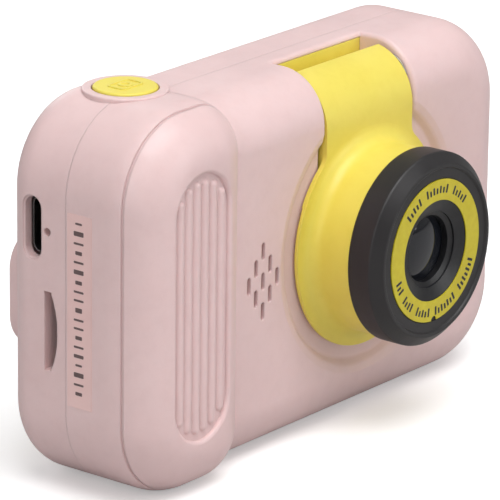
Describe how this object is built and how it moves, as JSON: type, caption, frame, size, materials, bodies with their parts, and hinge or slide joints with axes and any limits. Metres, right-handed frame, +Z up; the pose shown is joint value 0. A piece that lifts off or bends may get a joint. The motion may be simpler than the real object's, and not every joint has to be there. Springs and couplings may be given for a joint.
{
  "type": "kids digital camera",
  "caption": "Small rounded children's camera with a lens head that flips over the top, ribbed grip, shutter button, rear display, direction pad and keys.",
  "frame": {"origin": "on the base plane, under the middle of the overall bounding box", "axes": "+X from the grip end to the far end, -Y the way the lens looks at rest, +Z up"},
  "size_m": [0.0961, 0.0406, 0.0608],
  "materials": {
    "pink_plastic": "satin moulded pale pink",
    "yellow_plastic": "satin moulded yellow",
    "yellow_key": "satin moulded yellow",
    "black_plastic": "fine satin black",
    "label_yellow": "printed yellow ring",
    "lens_glass": "coated lens glass",
    "window": "black bordered clear pane",
    "lcd": "dark panel",
    "steel": "plain",
    "nickel": "nickel plated",
    "pcb": "solder mask",
    "chip": "moulded package",
    "clear": "clear",
    "cell": "wrapped pouch",
    "wire": "insulated",
    "ribbon": "film",
    "cloth": "woven",
    "foam": "foam",
    "pink_key": "satin moulded pink"
  },
  "bodies": {
    "body": {"battery": "cell", "battery_leads": "wire", "board_chips": "chip", "card_socket": "steel", "case_screws": "steel", "charge_lamp": "clear", "charging_socket": "nickel", "display_gasket": "foam", "display_module": "lcd", "display_tray": "steel", "display_window": "window", "friction_washer": "steel", "front_cover": "pink_plastic", "hinge_liner": "yellow_plastic", "key_switches": "steel", "main_board": "pcb", "microphone": "steel", "middle_frame": "pink_plastic", "rear_cover": "pink_plastic", "ribbon_body": "ribbon", "shutter_board": "pcb", "shutter_switch": "chip", "side_label": "clear", "speaker": "chip", "speaker_mesh": "cloth"},
    "lens_head": {"lens_arm": "yellow_plastic", "arm_back_cover": "yellow_plastic", "arm_screws": "steel", "lens_bezel": "black_plastic", "lens_cone": "black_plastic", "label_ring": "label_yellow", "lens_glass": "lens_glass", "lens_barrel": "black_plastic", "inner_lens": "lens_glass", "sensor_board": "pcb", "ribbon_head": "ribbon", "hinge_bush": "black_plastic", "hinge_pin": "steel"},
    "shutter": {"shutter_button": "yellow_key"},
    "pad_tilt_x": {"dpad_rocker": "black_plastic"},
    "pad_tilt_z": {"dpad": "pink_key"},
    "ok_key": {"ok_button": "yellow_key"},
    "power_key": {"power_button": "yellow_key"},
    "playback_key": {"playback_button": "yellow_key"},
    "menu_key": {"menu_button": "yellow_key"},
    "effects_key": {"effects_button": "yellow_key"}
  },
  "joints": [
    {"name": "lens_flip", "type": "hinge", "parent": "body", "child": "lens_head", "pos_m": [0.0107, -0.0018, 0.0519], "axis": [-1, 0, 0], "range_deg": [0, 180]},
    {"name": "shutter_press", "type": "slide", "parent": "body", "child": "shutter", "axis": [0, 0, -1], "range_m": [0, 0.0006], "stiffness_N_per_m": 3000},
    {"name": "pad_up_down", "type": "hinge", "parent": "body", "child": "pad_tilt_x", "pos_m": [-0.0344, 0.0129, 0.0282], "axis": [1, 0, 0], "range_deg": [-2, 2], "stiffness_Nm_per_rad": 0.24},
    {"name": "pad_left_right", "type": "hinge", "parent": "pad_tilt_x", "child": "pad_tilt_z", "pos_m": [-0.0344, 0.0129, 0.0282], "axis": [0, 0, 1], "range_deg": [-2, 2], "stiffness_Nm_per_rad": 0.24},
    {"name": "ok_press", "type": "slide", "parent": "body", "child": "ok_key", "axis": [0, -1, 0], "range_m": [0, 0.0004], "stiffness_N_per_m": 3000},
    {"name": "power_press", "type": "slide", "parent": "body", "child": "power_key", "axis": [0, -1, 0], "range_m": [0, 0.0004], "stiffness_N_per_m": 3000},
    {"name": "playback_press", "type": "slide", "parent": "body", "child": "playback_key", "axis": [0, -1, 0], "range_m": [0, 0.0004], "stiffness_N_per_m": 3000},
    {"name": "menu_press", "type": "slide", "parent": "body", "child": "menu_key", "axis": [0, -1, 0], "range_m": [0, 0.0004], "stiffness_N_per_m": 3000},
    {"name": "effects_press", "type": "slide", "parent": "body", "child": "effects_key", "axis": [0, -1, 0], "range_m": [0, 0.0004], "stiffness_N_per_m": 3000}
  ]
}
